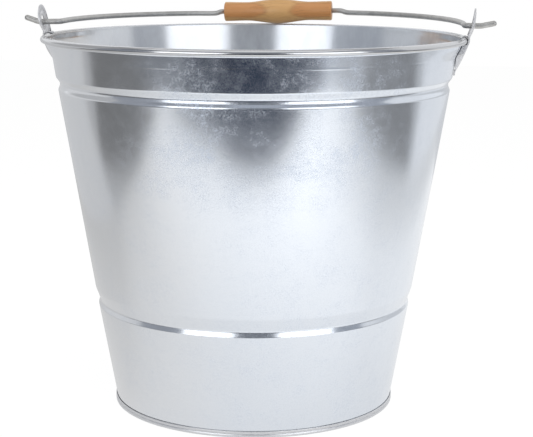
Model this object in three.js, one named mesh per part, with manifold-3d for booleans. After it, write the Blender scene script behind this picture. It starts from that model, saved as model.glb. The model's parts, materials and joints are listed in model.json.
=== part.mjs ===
// A galvanised coal bucket: tapered sheet wall with a wired rim, seamed base, two ears and a wire bail.
// Millimetres, +Z up. The origin is on the floor at the middle of the foot, +X runs through the right ear
// and the bail lies back on the rim towards +Y.
import * as THREE from 'three';
import { mergeVertices } from 'three/addons/utils/BufferGeometryUtils.js';
import Module from 'manifold-3d';

const wasm = await Module();
wasm.setup();

// Driving dimensions
const sheet = 0.5; // galvanised sheet of the wall and base
const clearance = 0.3; // kept between pieces that touch
const overrun = 2; // how far a cutting shape runs past what it cuts
const turnSteps = 60; // facets round the bucket

// Rolled rim
const rimDiameter = 305; // over the rolled edge
const rimTop = 268.2; // floor to the top of the rolled edge
const rimBead = 4.8; // thickness of the rolled edge
const rimCurlAngle = THREE.MathUtils.degToRad(296); // how far the sheet wraps round the wire
const rimCurlSteps = 8;

// Wall. Drops are measured down from the top of the rolled edge.
const flareDrop = 15.7; // where the wall begins to flare out to the rim
const flareInset = 8.2; // how far the wall stands inside the rim's outer edge at that height
const flareRise = 10.9;
const flareSteps = 4;
const upperSwageDrop = 38.6;
const lowerSwageRise = 69; // from the top of the foot seam
const lowerSwageTaperShare = 0.29196; // how much of the taper lies below the lower swage
const upperSwage = { bottom: rimTop - upperSwageDrop, height: 10.4, depth: 2.2 };
// Each swage runs from its lower edge to its upper edge: share of its height, share of its depth.
const upperSwageShares = [[0, 0], [0.16, 0.1], [0.52, 0.94], [0.62, 1], [1, 0]];
const lowerSwageShares = [[0, 0], [0.1, 0.16], [0.27, 0.88], [0.36, 1], [0.62, 0.55], [1, 0]];

// Side seam at the back
const seamWidth = 7;
const seamProud = 0.8;
const seamDrop = 9.2; // from the top of the rolled edge to the end of the seam

// Base and foot
const footDiameter = 205.6; // over the seam that joins the base to the wall
const footHeight = 4.5;
const lowerSwage = { bottom: footHeight + lowerSwageRise, height: 13.5, depth: 1.8 };

// Ears
const earSheet = 1;
const earDrop = 27.6; // from the top of the rolled edge to the lowest point of the tongue
const earTipRadius = 5;
const earFlushRise = 3.4; // length of tongue that lies on the wall
const earStandoffRise = 11.4; // from the tip to where the tongue stands off the wall, by this much
const earStandoff = 3.2;
const earShoulderDrop = 1.1; // from the middle of the rolled edge down to the straight outer leg
const earShoulderWidth = 27;
const earShoulderRise = 15.9; // from the tip to the lower end of the straight shoulder
const earShoulderHeight = 5.5;
const eyeDiameter = 22;
const eyeRise = 9.2; // from the top of the rolled edge to the middle of the eye
const eyeHole = 7.2;
// The edge round the eye turns in towards the bucket, from here below its middle, where it is this deep,
// to here above its middle, where it fades out
const eyeLip = { below: 6.4, above: 7.6, depth: 1.2 };
const neckWidth = 15;
const neckTurn = { belowEye: 1.4, outwards: 2.9 }; // the neck slants out to here, then the eye stands up
const eyeLean = THREE.MathUtils.degToRad(4.5);
const saddleSheet = 0.6;
const saddleWidth = 9;
const saddleTurn = THREE.MathUtils.degToRad(140); // how far the saddle hooks over the rolled edge
const saddleSteps = 6;

// Bail
const bailWire = 4;
const bailSides = 12;
const bowInset = 3; // from the middle of the rolled edge in to the grip's axis, with the bail at rest
const elbowRadius = 4.6;
const tailSteps = 3;
const elbowSteps = 5;
const bowSteps = 11;
// The hand-bent wire differs from side to side. Each arm has the distance from its ear's eye in to the
// wire, and out to where the straight end turns up into a tail. The wire jogs down just outside the
// grip, at this distance from it, over this length and depth, and the arm may bow up a little.
const rightArm = {
  inwards: 6,
  outwards: 5.7,
  tailLength: 10.8,
  tailAngle: THREE.MathUtils.degToRad(11),
  jogStart: 6.2,
  jogLength: 6,
  jogDepth: 1.3,
  rise: 0.2,
};
const leftArm = {
  inwards: 12.7,
  outwards: 3.6,
  tailLength: 10.5,
  tailAngle: THREE.MathUtils.degToRad(18),
  jogStart: 1.6,
  jogLength: 5,
  jogDepth: 1.3,
  rise: 0,
};
const jogSteps = 3;

// Grip
const gripLength = 87.6;
const gripOffset = 0.5; // from the middle of the bail, to the right
const gripEndPlay = 0.8; // free length of straight wire past each end
const gripTilt = THREE.MathUtils.degToRad(1); // the bent wire holds its right end higher
const gripBulge = 20; // diameters
const gripWaist = 14.9;
const gripEnd = 15.6;
const gripWaistPlace = 26; // from the middle
const gripEdge = 1.1; // rounding of the ends
const gripSteps = 6;
const gripTurnSteps = 20;

// Places that follow from the sizes above
const rimRadius = rimDiameter / 2;
const beadRadius = rimBead / 2;
const beadMiddle = rimRadius - beadRadius;
const beadHeight = rimTop - beadRadius;
const footRadius = footDiameter / 2;
const wallFootRadius = footRadius - sheet - clearance;
const wallBottom = sheet + clearance;
const wallRimRadius = beadMiddle - beadRadius + sheet;
const flareStart = rimTop - flareDrop;
const flareEnd = flareStart + flareRise;
const flareStartRadius = rimRadius - flareInset;
const lowerSwageRadius = THREE.MathUtils.lerp(wallFootRadius, flareStartRadius, lowerSwageTaperShare);
const seamTop = rimTop - seamDrop;
const earTip = rimTop - earDrop;
const earStandoffHeight = earTip + earStandoffRise;
const earShoulderBottom = earTip + earShoulderRise;
const earShoulderTop = earShoulderBottom + earShoulderHeight;
const wireRadius = bailWire / 2;
const eyeHeight = rimTop + eyeRise;
const eyeFace = rimRadius + clearance + neckTurn.outwards;
const neckTurnHeight = eyeHeight - neckTurn.belowEye;
const bailReach = beadMiddle - bowInset; // ear axis to the grip's axis
const pivotHeight = eyeHeight - eyeHole / 2 + clearance + wireRadius;
const gripRestDistance = gripBulge / 2 + beadRadius + clearance;
const gripRestHeight = beadHeight + Math.sqrt(gripRestDistance ** 2 - (beadMiddle - bailReach) ** 2);
const restAngle = Math.asin((gripRestHeight - pivotHeight) / bailReach);
const gripSpan = gripLength / 2 + gripEndPlay;

const materials = {
  sheet: new THREE.MeshStandardMaterial({ color: 0xc4c7cc, metalness: 0.9, roughness: 0.34 }),
  foot: new THREE.MeshStandardMaterial({ color: 0x9fa2a5, metalness: 0.9, roughness: 0.42 }),
  ear: new THREE.MeshStandardMaterial({ color: 0xbfc1c6, metalness: 0.9, roughness: 0.38 }),
  wire: new THREE.MeshStandardMaterial({ color: 0x9b9b97, metalness: 0.9, roughness: 0.36 }),
  wood: new THREE.MeshStandardMaterial({ color: 0xbe8755, metalness: 0, roughness: 0.42 }),
};

const smooth = (t) => t * t * (3 - 2 * t);
const mix = THREE.MathUtils.lerp;

// Closed three.js geometry to a solid that can be joined and cut, and back
function toSolid(geometry) {
  const bare = geometry.clone();
  bare.deleteAttribute('normal');
  bare.deleteAttribute('uv');
  const merged = mergeVertices(bare);
  return new wasm.Manifold(new wasm.Mesh({
    numProp: 3,
    vertProperties: new Float32Array(merged.attributes.position.array),
    triVerts: new Uint32Array(merged.index.array),
  }));
}

function toGeometry(solid) {
  const mesh = solid.getMesh();
  const geometry = new THREE.BufferGeometry();
  geometry.setAttribute('position', new THREE.BufferAttribute(mesh.vertProperties, 3));
  geometry.setIndex(new THREE.BufferAttribute(mesh.triVerts, 1));
  geometry.computeVertexNormals();
  return geometry;
}

// Turns an outline of [radius, height] points, listed anticlockwise, round the Z axis
function turned(points, steps = turnSteps) {
  const outline = points.map(([radius, height]) => new THREE.Vector2(radius, height));
  return new THREE.LatheGeometry(outline, steps).rotateX(Math.PI / 2);
}

const closed = (points) => [...points, points[0]];

// Extrudes an outline drawn in Y and Z along X, from one X to another
function extrudedAlongX(shape, from, to) {
  const geometry = new THREE.ExtrudeGeometry(shape, {
    depth: to - from,
    bevelEnabled: false,
    curveSegments: 10,
  });
  return geometry.rotateX(Math.PI / 2).rotateZ(Math.PI / 2).translate(from, 0, 0);
}

// Straight taper of the wall's outer face, before swages and flare
function taperRadius(height) {
  if (height < lowerSwage.bottom) {
    const share = (height - footHeight) / lowerSwageRise;
    return mix(wallFootRadius, lowerSwageRadius, Math.max(share, 0));
  }
  const share = (height - lowerSwage.bottom) / (flareStart - lowerSwage.bottom);
  return mix(lowerSwageRadius, flareStartRadius, share);
}

function swagePoints(swage, shares) {
  return shares.map(([heightShare, depthShare]) => {
    const height = swage.bottom + swage.height * heightShare;
    return [taperRadius(height) - swage.depth * depthShare, height];
  });
}

function flarePoints() {
  const spread = wallRimRadius - taperRadius(flareEnd);
  return Array.from({ length: flareSteps + 1 }, (_, i) => {
    const share = i / flareSteps;
    const height = flareStart + flareRise * share;
    return [taperRadius(height) + spread * smooth(share), height];
  });
}

// The wall's outer face from the foot seam to the underside of the rolled edge
function wallFace() {
  return [
    [wallFootRadius, wallBottom],
    [wallFootRadius, footHeight],
    ...swagePoints(lowerSwage, lowerSwageShares),
    ...swagePoints(upperSwage, upperSwageShares),
    ...flarePoints(),
  ];
}

function flareRadius(height) {
  const share = THREE.MathUtils.clamp((height - flareStart) / flareRise, 0, 1);
  return taperRadius(Math.min(height, flareEnd)) + (wallRimRadius - taperRadius(flareEnd)) * smooth(share);
}

function beadArc(radius) {
  return Array.from({ length: rimCurlSteps + 1 }, (_, i) => {
    const angle = Math.PI - (rimCurlAngle * i) / rimCurlSteps;
    return [beadMiddle + radius * Math.cos(angle), beadHeight + radius * Math.sin(angle)];
  });
}

// Wall sheet, with its folded side seam at the back
function bodyWall() {
  const face = wallFace();
  const inside = face.map(([radius, height]) => [radius - sheet, height]).reverse();
  const wall = toSolid(turned(closed([
    ...face,
    ...beadArc(beadRadius - sheet),
    ...beadArc(beadRadius).reverse(),
    ...inside,
  ])));

  const seamFace = [
    [taperRadius(footHeight + sheet), footHeight + sheet],
    ...face.filter(([, height]) => height > footHeight + sheet && height < seamTop),
    [flareRadius(seamTop), seamTop],
  ];
  const band = toSolid(turned(closed([
    ...seamFace.map(([radius, height]) => [radius + seamProud, height]),
    ...seamFace.map(([radius, height]) => [radius - sheet / 2, height]).reverse(),
  ])));
  const keep = toSolid(new THREE.BoxGeometry(seamWidth, rimRadius, rimTop)
    .translate(0, rimRadius / 2 + sheet, rimTop / 2));
  return toGeometry(wall.add(band.intersect(keep)));
}

// Wire inside the rolled edge
function rimWire() {
  const radius = beadRadius - sheet - clearance;
  return new THREE.TorusGeometry(beadMiddle, radius, 8, turnSteps).translate(0, 0, beadHeight);
}

// Base: a raised floor, with a channel round it that holds the lower edge of the wall
function basePan() {
  const channelInner = wallFootRadius - sheet - clearance;
  return turned([
    [0, footHeight - sheet],
    [channelInner - sheet, footHeight - sheet],
    [channelInner - sheet, 0],
    [footRadius, 0],
    [footRadius, footHeight],
    [footRadius - sheet, footHeight],
    [footRadius - sheet, sheet],
    [channelInner, sheet],
    [channelInner, footHeight],
    [0, footHeight],
  ]);
}

// Ear outline in Y and Z: a round-ended tongue, shoulders under the rim, a neck and a round eye
function earOutline(inset) {
  const tip = earTipRadius - inset;
  const shoulder = earShoulderWidth / 2 - inset;
  const eye = eyeDiameter / 2 - inset;
  const neckAngle = Math.acos(neckWidth / eyeDiameter);
  const neck = [eye * Math.cos(neckAngle), eyeHeight - eye * Math.sin(neckAngle)];
  const shape = new THREE.Shape();
  shape.absarc(0, earTip + earTipRadius, tip, Math.PI, 2 * Math.PI);
  shape.lineTo(shoulder, earShoulderBottom);
  shape.lineTo(shoulder, earShoulderTop);
  shape.quadraticCurveTo(shoulder, beadHeight, neck[0], neck[1]);
  shape.absarc(0, eyeHeight, eye, -neckAngle, Math.PI + neckAngle);
  shape.quadraticCurveTo(-shoulder, beadHeight, -shoulder, earShoulderTop);
  shape.lineTo(-shoulder, earShoulderBottom);
  return shape;
}

function rectangle(width, bottom, top) {
  const shape = new THREE.Shape();
  shape.moveTo(-width / 2, bottom);
  shape.lineTo(width / 2, bottom);
  shape.lineTo(width / 2, top);
  shape.lineTo(-width / 2, top);
  return shape;
}

// Inner face of the ear's plate, from the tip of the tongue to the top of the eye
function earInnerFace() {
  const flushTop = earTip + earFlushRise;
  const outside = rimRadius + clearance;
  const top = eyeHeight + eyeDiameter / 2 + overrun;
  return [
    [taperRadius(earTip) + clearance, earTip - overrun],
    [taperRadius(earTip) + clearance, earTip],
    [taperRadius(flushTop) + clearance, flushTop],
    [taperRadius(earStandoffHeight) + earStandoff, earStandoffHeight],
    [outside, beadHeight - earShoulderDrop],
    [outside, rimTop],
    [eyeFace, neckTurnHeight],
    [eyeFace + (top - neckTurnHeight) * Math.tan(eyeLean), top],
  ];
}

// Section of the saddle, a strap that hooks over the rolled edge from the plate
function saddleSection() {
  const arc = (radius) => Array.from({ length: saddleSteps + 1 }, (_, i) => {
    const angle = saddleTurn * (i / saddleSteps);
    return [beadMiddle + radius * Math.cos(angle), beadHeight + radius * Math.sin(angle)];
  });
  const near = beadRadius + clearance;
  return [...arc(near + saddleSheet), ...arc(near).reverse()];
}

// Ear: bent plate, side flanges that reach to the wall, a saddle over the rim, and the hole for the bail
function ear() {
  const from = taperRadius(earTip) - overrun;
  const to = rimRadius + eyeDiameter;
  const inner = earInnerFace();
  const outer = inner.map(([radius, height]) => [radius + earSheet, height]).reverse();
  const outline = toSolid(extrudedAlongX(earOutline(0), from, to));
  const hollow = toSolid(extrudedAlongX(earOutline(earSheet), from, to));
  const plate = toSolid(turned(closed([...inner, ...outer].reverse()))).intersect(outline);

  const edge = outline.subtract(hollow);
  const outsideAt = (height) => {
    const above = inner.findIndex((point) => point[1] >= height);
    const [lowRadius, low] = inner[above - 1];
    const [highRadius, high] = inner[above];
    return mix(lowRadius, highRadius, (height - low) / (high - low)) + earSheet / 2;
  };

  const flangeTop = beadHeight - beadRadius - clearance;
  const flangeBottom = earTip + earFlushRise;
  const flangeHeights = [flangeBottom, earStandoffHeight, mix(flareStart, flareEnd, 0.5), flangeTop];
  const flange = toSolid(turned(closed([
    ...flangeHeights.map((height) => [outsideAt(height), height]),
    ...flangeHeights.map((height) => [flareRadius(height) + clearance, height]).reverse(),
  ]))).intersect(edge);

  const lipBottom = eyeHeight - eyeLip.below;
  const lipTop = eyeHeight + eyeLip.above;
  const lipAt = (height) => eyeLip.depth * smooth((lipTop - height) / (lipTop - lipBottom));
  const lipHeights = [lipBottom, neckTurnHeight, mix(neckTurnHeight, lipTop, 0.5), lipTop];
  const lip = toSolid(turned(closed([
    ...lipHeights.map((height) => [outsideAt(height), height]),
    ...lipHeights.map((height) => [outsideAt(height) - earSheet / 2 - lipAt(height), height]).reverse(),
  ]))).intersect(edge);

  const saddle = toSolid(turned(closed(saddleSection())))
    .intersect(toSolid(extrudedAlongX(rectangle(saddleWidth, 0, rimTop * 2), from - overrun, to)));

  const hole = new THREE.CylinderGeometry(eyeHole / 2, eyeHole / 2, eyeDiameter, 24)
    .rotateZ(Math.PI / 2)
    .translate(rimRadius + clearance, 0, eyeHeight);
  return toGeometry(plate.add(flange).add(lip).add(saddle).subtract(toSolid(hole)));
}

// A smooth route whose extrusion steps fall on the listed points
class Route extends THREE.CatmullRomCurve3 {
  getUtoTmapping(u) {
    return u;
  }
}

// One half of the bail, from its tail to the grip: side is 1 on the right and -1 on the left
function bailHalf(side, arm) {
  const along = [];
  const halfWidth = eyeFace - arm.inwards;
  const pivotEnd = eyeFace + arm.outwards;
  const add = (x, y, z) => along.push(new THREE.Vector3(side * x, y, z));
  for (let i = tailSteps; i > 0; i -= 1) {
    const reach = arm.tailLength * (i / tailSteps);
    add(pivotEnd + reach * Math.cos(arm.tailAngle), 0, reach * Math.sin(arm.tailAngle));
  }
  add(pivotEnd, 0, 0);
  const elbowMiddle = halfWidth + elbowRadius;
  for (let i = 0; i <= elbowSteps; i += 1) {
    const angle = -Math.PI / 2 - (Math.PI / 2) * (i / elbowSteps);
    add(elbowMiddle + elbowRadius * Math.cos(angle), elbowRadius + elbowRadius * Math.sin(angle), 0);
  }
  // The bow is a quarter of an ellipse whose end meets the straight stretch under the grip.
  const gripReach = gripSpan + side * gripOffset;
  const depthOfBow = (bailReach - elbowRadius) / Math.sqrt(1 - (gripReach / halfWidth) ** 2);
  const bowY = (x) => elbowRadius + depthOfBow * Math.sqrt(1 - (x / halfWidth) ** 2);
  const gripLine = (x) => side * Math.tan(gripTilt) * x;
  const jogInner = gripReach + arm.jogStart;
  const jogOuter = jogInner + arm.jogLength;
  const armStart = gripLine(jogInner) - arm.jogDepth;
  const endAngle = Math.acos(jogOuter / halfWidth);
  for (let i = 1; i <= bowSteps; i += 1) {
    const share = i / bowSteps;
    const x = halfWidth * Math.cos(endAngle * share);
    add(x, bowY(x), armStart * share + arm.rise * Math.sin(Math.PI * share));
  }
  for (let i = 1; i <= jogSteps; i += 1) {
    const share = i / jogSteps;
    const x = mix(jogOuter, jogInner, share);
    add(x, bowY(x), armStart + arm.jogDepth * smooth(share));
  }
  add(gripReach, bailReach, gripLine(gripReach));
  return along;
}

function roundSection(radius, sides) {
  const corners = Array.from({ length: sides }, (_, i) => {
    const angle = (2 * Math.PI * i) / sides;
    return new THREE.Vector2(radius * Math.cos(angle), radius * Math.sin(angle));
  });
  return new THREE.Shape(corners);
}

// Bail wire, in the plane of its bow, with the ear axis along X through its origin
function bail() {
  const points = [...bailHalf(-1, leftArm), ...bailHalf(1, rightArm).reverse()];
  return new THREE.ExtrudeGeometry(roundSection(wireRadius, bailSides), {
    steps: points.length - 1,
    bevelEnabled: false,
    extrudePath: new Route(points),
  });
}

function gripRadius(place) {
  const away = Math.abs(place);
  if (away < gripWaistPlace) {
    return mix(gripBulge, gripWaist, smooth(away / gripWaistPlace)) / 2;
  }
  return mix(gripWaist, gripEnd, smooth((away - gripWaistPlace) / (gripLength / 2 - gripWaistPlace))) / 2;
}

// Turned wooden grip with the bore it spins on, along X through its origin
function grip() {
  const half = gripLength / 2;
  const bore = wireRadius + clearance;
  const places = [];
  for (let i = -gripSteps; i <= gripSteps; i += 1) {
    places.push((half - gripEdge) * (i / gripSteps));
  }
  const outline = [
    [bore, -half],
    [gripRadius(half) - gripEdge, -half],
    ...places.map((place) => [gripRadius(place), place]),
    [gripRadius(half) - gripEdge, half],
    [bore, half],
  ];
  return turned(closed(outline), gripTurnSteps).rotateY(Math.PI / 2);
}

function piece(name, geometry, material) {
  const mesh = new THREE.Mesh(geometry, material);
  mesh.name = name;
  return mesh;
}

const bucket = new THREE.Group();
bucket.add(piece('body_wall', bodyWall(), materials.sheet));
bucket.add(piece('rim_wire', rimWire(), materials.wire));
bucket.add(piece('base_pan', basePan(), materials.foot));

const earGeometry = ear();
for (const [name, turn] of [['ear_right', 0], ['ear_left', Math.PI]]) {
  const placed = piece(name, earGeometry, materials.ear);
  placed.rotation.z = turn;
  bucket.add(placed);
}

const handle = new THREE.Group();
handle.position.z = pivotHeight;
handle.rotation.x = restAngle;
handle.add(piece('bail_wire', bail(), materials.wire));
const woodGrip = piece('grip', grip(), materials.wood);
woodGrip.position.set(gripOffset, bailReach, gripOffset * Math.tan(gripTilt));
woodGrip.rotation.y = -gripTilt;
handle.add(woodGrip);
bucket.add(handle);

export default bucket;
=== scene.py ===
import json
import math

import bmesh
import bpy
from mathutils import Matrix, Vector, noise
from mathutils.geometry import delaunay_2d_cdt


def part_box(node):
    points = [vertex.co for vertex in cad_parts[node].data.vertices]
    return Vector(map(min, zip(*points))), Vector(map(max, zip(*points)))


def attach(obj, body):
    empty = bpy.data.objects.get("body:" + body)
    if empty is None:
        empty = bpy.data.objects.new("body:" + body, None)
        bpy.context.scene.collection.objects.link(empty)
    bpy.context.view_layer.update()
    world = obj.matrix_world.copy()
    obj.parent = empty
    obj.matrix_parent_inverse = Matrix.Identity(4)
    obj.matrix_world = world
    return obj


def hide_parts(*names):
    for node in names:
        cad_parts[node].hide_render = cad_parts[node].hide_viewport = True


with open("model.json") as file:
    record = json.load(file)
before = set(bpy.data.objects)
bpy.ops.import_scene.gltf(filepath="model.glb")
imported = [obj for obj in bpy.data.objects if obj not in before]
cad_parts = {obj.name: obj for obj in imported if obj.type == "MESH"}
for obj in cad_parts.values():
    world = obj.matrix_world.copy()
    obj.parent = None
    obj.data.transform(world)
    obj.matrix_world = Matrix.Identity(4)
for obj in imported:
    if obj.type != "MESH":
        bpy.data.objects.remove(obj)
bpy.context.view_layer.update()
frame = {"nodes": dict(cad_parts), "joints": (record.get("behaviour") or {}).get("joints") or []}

# Sizes shared with the solids
SHEET = 0.0005
CLEARANCE = 0.0003
RIM_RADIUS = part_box("body_wall")[1].x
RIM_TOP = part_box("body_wall")[1].z
BEAD_RADIUS = 0.00212
CURL_ANGLE = math.radians(296)
FOOT_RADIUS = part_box("base_pan")[1].x
FOOT_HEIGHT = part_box("base_pan")[1].z
FLARE_START = 0.2525
FLARE_RISE = 0.0109
FLARE_START_RADIUS = 0.1443
LOWER_SWAGE_BOTTOM = 0.0735
LOWER_SWAGE_RADIUS = 0.11435

BEAD_MIDDLE = RIM_RADIUS - BEAD_RADIUS
BEAD_HEIGHT = RIM_TOP - BEAD_RADIUS
WALL_FOOT_RADIUS = FOOT_RADIUS - SHEET - CLEARANCE
WALL_BOTTOM = SHEET + CLEARANCE
WALL_RIM_RADIUS = BEAD_MIDDLE - BEAD_RADIUS + SHEET
FLARE_END = FLARE_START + FLARE_RISE

# Swages, as height and offset from the plain taper. Their corners are rounded by averaging over a short span.
UPPER_SWAGE = [
    (0.2290, 0), (0.2297, 0.00003), (0.2303, -0.00006), (0.2310, -0.00040), (0.2320, -0.00100),
    (0.2330, -0.00156), (0.2338, -0.00187), (0.2346, -0.00204), (0.2354, -0.00208), (0.2364, -0.00180),
    (0.2393, -0.00012), (0.2400, 0),
]
LOWER_SWAGE = [
    (0.0731, 0), (0.0738, 0), (0.0768, -0.00162), (0.0780, -0.00180), (0.0815, -0.00100),
    (0.0862, -0.00004), (0.0872, 0),
]
CREASE = [(0.2546, 0), (0.2551, 0.00006), (0.2556, 0)]
BAND = [(0.2400, 0), (0.2630, -0.0004)]
SWAGE_ROUNDING = 0.0005
SHORT_FLARE_START = 0.2628
TURN_STEPS = 288
CURL_STEPS = 32

# Side seam at the back
SEAM_WIDTH = 0.007
SEAM_PROUD = 0.0008
SEAM_TOP = 0.259

# Ears
EAR_SHEET = 0.001
EAR_TIP = 0.2406
EAR_TIP_RADIUS = 0.005
EAR_SHOULDER_HALF = 0.0135
EAR_SHOULDER_BOTTOM = 0.2565
EAR_SHOULDER_TOP = 0.262
EYE_HEIGHT = 0.2774
EYE_RADIUS = 0.011
EYE_HOLE_RADIUS = 0.0036
NECK_HALF = 0.0075
EAR_CORNER = 0.0007
EAR_LIP = 0.0012
EAR_LIP_BOTTOM = 0.2682
EAR_LIP_TOP = 0.285
STRAP_SHEET = 0.0006
STRAP_WIDTH = 0.009
STRAP_TURN = math.radians(140)

# Bail
WIRE_RADIUS = 0.002
ELBOW_RADIUS = 0.0046
GRIP_LENGTH = 0.0876
GRIP_OFFSET = 0.0005
GRIP_END_PLAY = 0.0008
RIGHT_ARM = {
    "half_width": 0.1497, "pivot_end": 0.1614, "tail_length": 0.0108, "tail_angle": math.radians(11),
    "jog_start": 0.0062, "jog_length": 0.006, "jog_depth": 0.0013, "rise": 0.0002,
}
LEFT_ARM = {
    "half_width": 0.143, "pivot_end": 0.1593, "tail_length": 0.0105, "tail_angle": math.radians(18),
    "jog_start": 0.0016, "jog_length": 0.005, "jog_depth": 0.0013, "rise": 0,
}

# Grip
GRIP_BULGE = 0.010
GRIP_WAIST = 0.00745
GRIP_END = 0.0078
GRIP_WAIST_PLACE = 0.026
GRIP_EDGE = 0.0011

joints = {joint["name"]: joint for joint in frame["joints"]}
PIVOT = Vector(joints["bail_swing"]["pos_m"])
GRIP_MIDDLE = Vector(joints["grip_spin"]["pos_m"])
GRIP_AXIS = Vector(joints["grip_spin"]["axis"]).normalized()


# Numbers and lines
def mix(low, high, share):
    return low + (high - low) * share


def clamp(value, low=0.0):
    """Value held between low and 1."""
    return max(low, min(1.0, value))


def smooth(share):
    share = clamp(share)
    return share * share * (3 - 2 * share)


def along(knots, place):
    """Height of a line through knots at a place, level past both ends."""
    if place <= knots[0][0]:
        return knots[0][1]
    for (left, low), (right, high) in zip(knots, knots[1:]):
        if place <= right:
            return mix(low, high, (place - left) / (right - left))
    return knots[-1][1]


def rounded(knots, place, span):
    """The same line with its corners rounded, by averaging it over a span, with less weight far away."""
    samples, lost_weight = 9, 0.6
    total = weights = 0.0
    for i in range(samples):
        away = 2 * i / (samples - 1) - 1
        weight = 1 - abs(away) * lost_weight
        total += weight * along(knots, place + span * away)
        weights += weight
    return total / weights


def arc(x, y, radius, start, end, steps):
    """Points on part of a circle, from one angle to another."""
    angles = [mix(start, end, i / steps) for i in range(steps + 1)]
    return [(x + radius * math.cos(angle), y + radius * math.sin(angle)) for angle in angles]


def unit_circle(sides):
    return arc(0, 0, 1, 0, 2 * math.pi, sides)[:-1]


def corner_round(radius, steps):
    """Rounded corner as (inset, depth), from a face round to the side."""
    angles = [math.pi / 2 * i / steps for i in range(steps + 1)]
    return [(radius * (1 - math.sin(angle)), radius * (1 - math.cos(angle))) for angle in angles]


def sheet_edge(outer, inner, depth, steps):
    """Rounded edge of a sheet as (inset, depth), from its outer face round to its inner face."""
    inner_corner = reversed(corner_round(inner, steps))
    return corner_round(outer, steps) + [(inset, depth - off) for inset, off in inner_corner]


# Meshes
def spaced(low, high, step):
    count = max(1, math.ceil((high - low) / step))
    return [mix(low, high, i / count) for i in range(count)]


def revolved(profile, steps):
    """Closed profile of (radius, height), turned round Z. The profile may depend on the angle."""
    vertices = []
    for i in range(steps):
        angle = 2 * math.pi * i / steps
        points = profile(angle) if callable(profile) else profile
        for radius, height in points:
            vertices.append((radius * math.cos(angle), radius * math.sin(angle), height))
    count = len(points)
    faces = []
    for i in range(steps):
        turn, next_turn = i * count, (i + 1) % steps * count
        for j in range(count):
            k = (j + 1) % count
            faces.append((turn + j, next_turn + j, next_turn + k, turn + k))
    return vertices, faces


def ring_faces(rings, count, start=0):
    """Faces between rings of points, each of them closed."""
    faces = []
    for i in range(rings - 1):
        a, b = start + i * count, start + (i + 1) * count
        for j in range(count):
            k = (j + 1) % count
            faces.append((a + j, a + k, b + k, b + j))
    return faces


def rod_faces(rings, count):
    """Faces between rings, and a cap on the first and last ring."""
    last = (rings - 1) * count
    return ring_faces(rings, count) + [tuple(range(count)), tuple(range(last, last + count))]


def added(name, data):
    """New object in the scene."""
    made = bpy.data.objects.new(name, data)
    bpy.context.scene.collection.objects.link(made)
    return made


def piece(name, skin, material, body, replaces=(), matrix=Matrix()):
    """Makes a piece from points and faces, merges and smooths them, and fixes it to its body."""
    merged, sharp = 1e-6, math.radians(50)
    vertices, faces = skin
    mesh = bpy.data.meshes.new(name)
    mesh.from_pydata([tuple(v) for v in vertices], [], faces)
    work = bmesh.new()
    work.from_mesh(mesh)
    bmesh.ops.remove_doubles(work, verts=work.verts, dist=merged)
    bmesh.ops.recalc_face_normals(work, faces=work.faces)
    work.to_mesh(mesh)
    work.free()
    mesh.polygons.foreach_set("use_smooth", [True] * len(mesh.polygons))
    mesh.set_sharp_from_angle(angle=sharp)
    made = added(name, mesh)
    made.matrix_world = matrix
    mesh.materials.append(material)
    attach(made, body)
    if replaces:
        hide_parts(*replaces)


# Wall
def taper_radius(height):
    if height < LOWER_SWAGE_BOTTOM:
        share = clamp((height - FOOT_HEIGHT) / (LOWER_SWAGE_BOTTOM - FOOT_HEIGHT))
        return mix(WALL_FOOT_RADIUS, LOWER_SWAGE_RADIUS, share)
    share = (height - LOWER_SWAGE_BOTTOM) / (FLARE_START - LOWER_SWAGE_BOTTOM)
    return mix(LOWER_SWAGE_RADIUS, FLARE_START_RADIUS, share)


def pressed(height, *lines):
    """Sum of the offsets that swages give the wall at a height."""
    return sum(rounded(knots, height, SWAGE_ROUNDING) for knots in lines)


def plain_radius(height):
    """Outer face of the wall, with its swages but without the flare."""
    return taper_radius(min(height, FLARE_END)) + pressed(height, UPPER_SWAGE, LOWER_SWAGE, CREASE, BAND)


def plain_inner_radius(height):
    """Inner face of the wall, with its swages but without the flare."""
    return taper_radius(height) - SHEET + pressed(height, UPPER_SWAGE, LOWER_SWAGE, BAND)


def beside_ear(angle):
    """1 at the ears, and 0 in front and behind."""
    near, far = math.radians(15), math.radians(32)
    return 1 - smooth((math.asin(abs(math.sin(angle))) - near) / (far - near))


def gradual_flare(height):
    return smooth((height - FLARE_START) / FLARE_RISE)


def flare(height, angle):
    """Flare under the rolled edge: drawn out gradually beside the ears, and short in front and behind."""
    short = smooth((height - SHORT_FLARE_START) / (BEAD_HEIGHT - SHORT_FLARE_START))
    width = WALL_RIM_RADIUS - taper_radius(FLARE_END) - BAND[-1][1]
    return width * mix(short, gradual_flare(height), beside_ear(angle))


def inner_flare(height, angle):
    """Flare of the inner face, which keeps its taper up to the rolled edge in front and behind."""
    width = WALL_RIM_RADIUS - taper_radius(height) - BAND[-1][1]
    return width * gradual_flare(height) * beside_ear(angle)


def wall_radius(height, angle=0.0):
    """Outer face of the wall below the rolled edge."""
    return plain_radius(height) + flare(height, angle)


def wall_heights():
    """Rows of points up the wall: close at the foot, swages and flare, and far apart between them."""
    close, apart = 0.00035, 0.006
    ends = [WALL_BOTTOM, FOOT_HEIGHT]
    for swage in (LOWER_SWAGE, UPPER_SWAGE):
        ends += [swage[0][0] - SWAGE_ROUNDING, swage[-1][0] + SWAGE_ROUNDING]
    ends += [FLARE_START, BEAD_HEIGHT]
    heights = []
    for i, (low, high) in enumerate(zip(ends, ends[1:])):
        heights += spaced(low, high, apart if i % 2 else close)
    return heights


def dent(x, y, z):
    """Very shallow waviness of hand-worked sheet."""
    waves = ((9.0, 0.00016), (26.0, 0.00005))
    return sum(depth * noise.noise(Vector((x, y, z)) * scale) for scale, depth in waves)


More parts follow.
